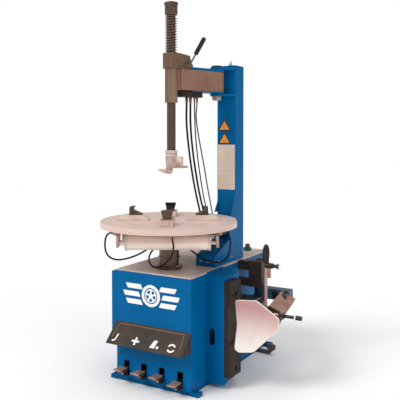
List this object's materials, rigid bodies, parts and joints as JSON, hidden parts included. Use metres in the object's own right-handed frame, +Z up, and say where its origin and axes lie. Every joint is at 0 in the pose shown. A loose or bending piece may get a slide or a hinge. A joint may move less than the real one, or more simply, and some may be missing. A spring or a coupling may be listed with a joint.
{
  "type": "tire changer machine",
  "caption": "Workshop tire changer: sheet-metal cabinet, clamping turntable, column with swing arm and sprung tool shaft, foot pedals and side bead breaker.",
  "frame": {"origin": "on the floor under the turntable's axis", "axes": "+X to the operator's right, +Y from the pedals to the rear, +Z up"},
  "size_m": [1.0569, 1.1169, 1.976],
  "materials": {
    "blue_paint": "semi-gloss powder coat",
    "dark_paint": "satin powder coat",
    "deck_gray": "satin gray enamel",
    "bright_steel": "machined, lightly brushed",
    "zinc": "zinc plated",
    "black_oxide": "oiled black",
    "cylinder_alloy": "anodised tube",
    "rubber": "moulded, matt",
    "hose_rubber": "smooth, satin",
    "black_plastic": "satin moulded",
    "valve_paint": "enamelled",
    "cast_gray": "as cast",
    "pedal_metal": "worn plated steel"
  },
  "bodies": {
    "chassis": {"base_frame": "dark_paint", "cabinet_shell": "blue_paint", "top_plate": "deck_gray", "left_side_cover": "blue_paint", "wheel_rest_box": "blue_paint", "wheel_rest_pad": "rubber", "pedal_hood": "dark_paint", "column_post": "blue_paint", "swing_pin": "zinc", "machine_bolts": "zinc", "gearbox": "cast_gray", "motor": "cast_gray", "drive_belt": "rubber", "cabinet_fittings": "zinc", "air_unit": "valve_paint", "pedal_unit": "cast_gray", "bead_bracket": "dark_paint", "arm_hose_1": "hose_rubber", "arm_hose_2": "hose_rubber", "arm_hose_3": "hose_rubber", "arm_hose_4": "hose_rubber"},
    "table": {"turntable_plate": "bright_steel", "turntable_hub": "zinc", "rotary_valve": "black_oxide", "table_hose_left": "hose_rubber", "table_hose_center": "hose_rubber", "table_hose_right": "hose_rubber"},
    "jaw_1": {"jaw_slide_1": "bright_steel", "jaw_claw_1": "black_oxide", "clamp_rods": "bright_steel"},
    "jaw_2": {"jaw_slide_2": "bright_steel", "jaw_claw_2": "black_oxide"},
    "jaw_3": {"jaw_slide_3": "bright_steel", "jaw_claw_3": "black_oxide", "clamp_cylinders": "cylinder_alloy"},
    "jaw_4": {"jaw_slide_4": "bright_steel", "jaw_claw_4": "black_oxide"},
    "worm": {"gearbox_pulley": "cast_gray"},
    "motor_rotor": {"motor_pulley": "cast_gray"},
    "arm": {"arm_beam": "dark_paint", "arm_plates": "blue_paint", "head_block": "dark_paint", "guide_tube": "black_oxide", "lock_valve": "black_oxide"},
    "lever": {"lock_lever": "black_oxide"},
    "tool": {"hex_shaft": "black_oxide", "shaft_cap": "black_plastic", "return_spring": "black_oxide", "mount_head": "bright_steel"},
    "pedal_a": {"pedal_1": "pedal_metal"},
    "pedal_b": {"pedal_2": "pedal_metal"},
    "pedal_c": {"pedal_3": "pedal_metal"},
    "pedal_d": {"pedal_4": "pedal_metal"},
    "breaker_arm": {"bead_arm": "bright_steel", "bead_handle": "black_oxide"},
    "blade": {"bead_blade": "bright_steel"},
    "button": {"handle_button": "black_plastic"},
    "breaker_cylinder": {"bead_cylinder": "cylinder_alloy"},
    "breaker_rod": {"bead_rod": "bright_steel"},
    "regulator": {"regulator_knob": "black_plastic"}
  },
  "joints": [
    {"name": "turntable_spin", "type": "hinge", "parent": "chassis", "child": "table", "pos_m": [0, 0, 0.838], "axis": [0, 0, 1], "continuous": true, "deforming": ["table_hose_left", "table_hose_center", "table_hose_right"]},
    {"name": "jaw_1_slide", "type": "slide", "parent": "table", "child": "jaw_1", "axis": [0.863, 0.5051, 0], "range_m": [-0.01, 0.04]},
    {"name": "jaw_2_slide", "type": "slide", "parent": "table", "child": "jaw_2", "axis": [-0.5051, 0.863, 0], "range_m": [-0.01, 0.04]},
    {"name": "jaw_3_slide", "type": "slide", "parent": "table", "child": "jaw_3", "axis": [-0.863, -0.5051, 0], "range_m": [-0.01, 0.04]},
    {"name": "jaw_4_slide", "type": "slide", "parent": "table", "child": "jaw_4", "axis": [0.5051, -0.863, 0], "range_m": [-0.01, 0.04]},
    {"name": "worm_spin", "type": "hinge", "parent": "chassis", "child": "worm", "pos_m": [-0.139, 0.06, 0.45], "axis": [1, 0, 0], "continuous": true},
    {"name": "motor_spin", "type": "hinge", "parent": "chassis", "child": "motor_rotor", "pos_m": [-0.139, 0.52, 0.2], "axis": [1, 0, 0], "continuous": true},
    {"name": "arm_swing", "type": "hinge", "parent": "chassis", "child": "arm", "pos_m": [0.12, 0.3, 1.574], "axis": [0, 0, 1], "range_deg": [0, 100], "deforming": ["arm_hose_1", "arm_hose_2", "arm_hose_3", "arm_hose_4"]},
    {"name": "lock_lever_turn", "type": "hinge", "parent": "arm", "child": "lever", "pos_m": [0.09051, 0.05833, 1.646], "axis": [0.3304, 0.9439, 0], "range_deg": [0, 50]},
    {"name": "tool_shaft_slide", "type": "slide", "parent": "arm", "child": "tool", "axis": [0, 0, 1], "range_m": [-0.11, 0], "stiffness_N_per_m": 700, "springref_m": 0.33, "deforming": ["return_spring"]},
    {"name": "pedal_1_press", "type": "hinge", "parent": "chassis", "child": "pedal_a", "pos_m": [-0.1635, 0.06, 0.072], "axis": [1, 0, 0], "range_deg": [0, 6], "stiffness_Nm_per_rad": 30, "springref_deg": -6.88},
    {"name": "pedal_2_press", "type": "hinge", "parent": "chassis", "child": "pedal_b", "pos_m": [-0.0545, 0.06, 0.072], "axis": [1, 0, 0], "range_deg": [0, 6], "stiffness_Nm_per_rad": 30, "springref_deg": -6.88},
    {"name": "pedal_3_press", "type": "hinge", "parent": "chassis", "child": "pedal_c", "pos_m": [0.0545, 0.06, 0.072], "axis": [1, 0, 0], "range_deg": [0, 6], "stiffness_Nm_per_rad": 30, "springref_deg": -6.88},
    {"name": "pedal_4_press", "type": "hinge", "parent": "chassis", "child": "pedal_d", "pos_m": [0.1635, 0.06, 0.072], "axis": [1, 0, 0], "range_deg": [-3.4, 2.5]},
    {"name": "breaker_swing", "type": "hinge", "parent": "chassis", "child": "breaker_arm", "pos_m": [0.335, 0.41, 0.44], "axis": [0, 0, 1], "range_deg": [0, 35]},
    {"name": "blade_tilt", "type": "hinge", "parent": "breaker_arm", "child": "blade", "pos_m": [0.597, 0.056, 0.39], "axis": [0, 0, 1], "range_deg": [0, 12]},
    {"name": "handle_button_press", "type": "slide", "parent": "breaker_arm", "child": "button", "axis": [-1, 0, 0], "range_m": [0, 0.005], "stiffness_N_per_m": 400, "springref_m": -0.004},
    {"name": "cylinder_swivel", "type": "hinge", "parent": "chassis", "child": "breaker_cylinder", "pos_m": [-0.08, 0.262, 0.365], "axis": [0, 0, 1], "range_deg": [0, 4]},
    {"name": "breaker_rod_slide", "type": "slide", "parent": "breaker_cylinder", "child": "breaker_rod", "axis": [1, 0, 0], "range_m": [0, 0.09]},
    {"name": "regulator_turn", "type": "hinge", "parent": "chassis", "child": "regulator", "pos_m": [0.137, 0.66, 0.615], "axis": [0, 0, 1], "range_deg": [-150, 150]}
  ],
  "couplings": [
    {"joint": "jaw_2_slide", "follows": "jaw_1_slide", "ratio": 1},
    {"joint": "jaw_3_slide", "follows": "jaw_1_slide", "ratio": 1},
    {"joint": "jaw_4_slide", "follows": "jaw_1_slide", "ratio": 1},
    {"joint": "motor_spin", "follows": "worm_spin", "ratio": 1.9541},
    {"joint": "cylinder_swivel", "follows": "breaker_swing", "ratio": 0.0877},
    {"joint": "breaker_rod_slide", "follows": "breaker_swing", "m_per_rad": 0.1401}
  ]
}
